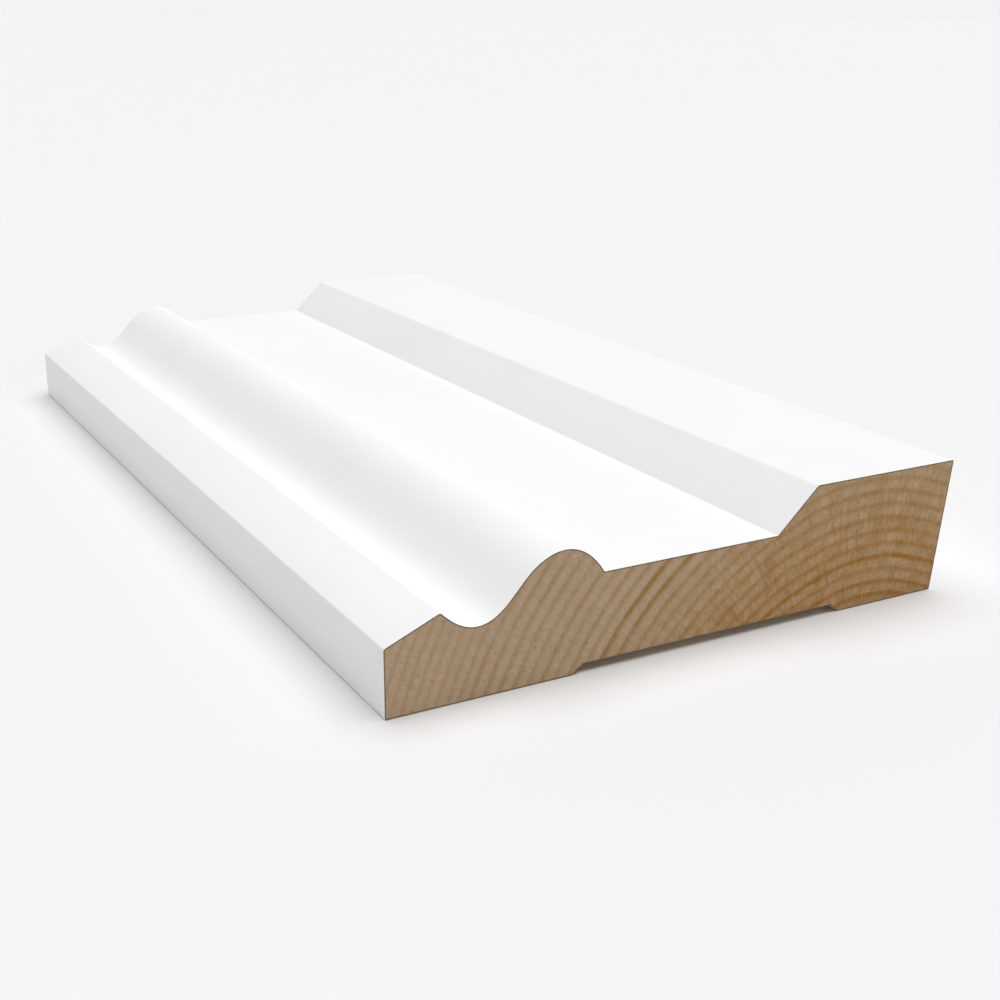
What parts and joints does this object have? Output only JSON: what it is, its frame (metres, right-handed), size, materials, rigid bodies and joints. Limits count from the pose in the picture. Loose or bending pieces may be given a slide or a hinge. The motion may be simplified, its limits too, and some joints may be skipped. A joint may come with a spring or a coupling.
{
  "type": "skirting board",
  "caption": "Length of moulded pine skirting board with a splayed, hollowed and beaded head, a flat field, a raised base band and a relieved back, painted white on its face and edges.",
  "frame": {"origin": "on the plane of the back that meets the wall, under the middle of the board's width and length", "axes": "+X across the board from the thin head edge to the thick floor edge, +Y along the board's length, +Z out of the moulded face"},
  "size_m": [0.12, 0.235, 0.026],
  "materials": {
    "painted_pine": "satin white paint over planed pine on the face and edges, bare pine on the back and the cut ends"
  },
  "bodies": {
    "root": {"skirting_board": "painted_pine"}
  },
  "joints": []
}
